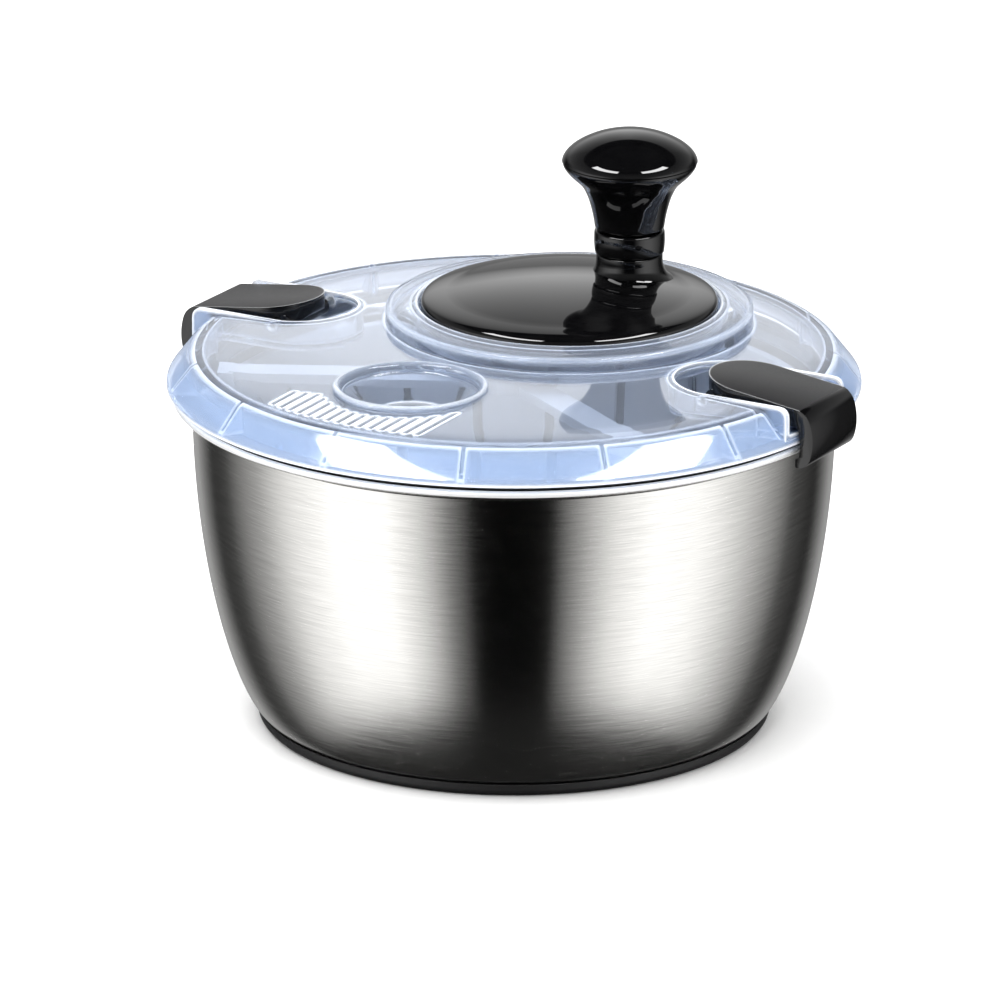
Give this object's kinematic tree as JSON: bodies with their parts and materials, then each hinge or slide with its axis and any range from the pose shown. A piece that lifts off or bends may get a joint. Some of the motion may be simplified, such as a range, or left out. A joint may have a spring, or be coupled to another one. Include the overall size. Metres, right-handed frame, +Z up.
{
  "type": "salad spinner",
  "caption": "Crank salad spinner: steel bowl on a soft foot, strainer basket, clear geared lid with feed funnel and drain comb, and two snap latches.",
  "frame": {"origin": "on the table, at the centre of the bowl's foot", "axes": "+Z up along the axis of the bowl, the basket and the lid; the front is -Y; the crank and its knob stand towards +X and +Y"},
  "size_m": [0.262, 0.262, 0.2173],
  "materials": {
    "bowl_steel": "brushed round the bowl, bright rolled rim",
    "hardware_steel": "turned stainless steel",
    "clear_plastic": "polished clear with a light blue cast",
    "black_gloss": "high gloss black",
    "black_satin": "satin black",
    "silicone": "matt black silicone",
    "basket_plastic": "frosted translucent",
    "acetal": "natural white, moulded"
  },
  "bodies": {
    "bowl": {"bowl": "bowl_steel", "base_pad": "silicone", "pivot_stud": "hardware_steel"},
    "basket": {"basket": "basket_plastic", "pivot_bush": "acetal"},
    "lid": {"lid": "clear_plastic", "lid_gasket": "silicone", "shaft_bush": "acetal", "crank_bush": "acetal", "left_latch_pin": "hardware_steel", "right_latch_pin": "hardware_steel"},
    "crank": {"crank_disc": "black_gloss", "ring_gear": "acetal", "post_collar": "black_satin", "crank_washer": "hardware_steel", "crank_screw": "hardware_steel", "knob_axle": "hardware_steel", "knob_washer": "hardware_steel", "knob_nut": "hardware_steel"},
    "knob": {"knob_grip": "black_gloss", "knob_cap": "black_gloss", "knob_bush": "acetal"},
    "drive": {"pinion": "acetal", "drive_shaft": "hardware_steel", "drive_spider": "basket_plastic", "shaft_clip": "hardware_steel"},
    "left_latch": {"left_latch": "black_satin"},
    "right_latch": {"right_latch": "black_satin"}
  },
  "joints": [
    {"name": "lid_lift", "type": "slide", "parent": "bowl", "child": "lid", "axis": [0, 0, 1], "range_m": [0, 0.12]},
    {"name": "crank_spin", "type": "hinge", "parent": "lid", "child": "crank", "pos_m": [0.021, 0.028, 0.1438], "axis": [0, 0, 1], "continuous": true},
    {"name": "knob_spin", "type": "hinge", "parent": "crank", "child": "knob", "pos_m": [0.0439, 0.043, 0.19], "axis": [0, 0, 1], "continuous": true},
    {"name": "drive_spin", "type": "hinge", "parent": "lid", "child": "drive", "pos_m": [0, 0, 0.14], "axis": [0, 0, 1], "continuous": true},
    {"name": "basket_spin", "type": "hinge", "parent": "bowl", "child": "basket", "pos_m": [0, 0, 0.016], "axis": [0, 0, 1], "continuous": true},
    {"name": "right_latch_hinge", "type": "hinge", "parent": "lid", "child": "right_latch", "pos_m": [0.08054, -0.0465, 0.1432], "axis": [-0.5, -0.866, 0], "range_deg": [0, 70]},
    {"name": "left_latch_hinge", "type": "hinge", "parent": "lid", "child": "left_latch", "pos_m": [-0.08054, 0.0465, 0.1432], "axis": [0.5, 0.866, 0], "range_deg": [0, 70]}
  ],
  "couplings": [
    {"joint": "drive_spin", "follows": "crank_spin", "ratio": 3.9474},
    {"joint": "basket_spin", "follows": "crank_spin", "ratio": 3.9474}
  ]
}
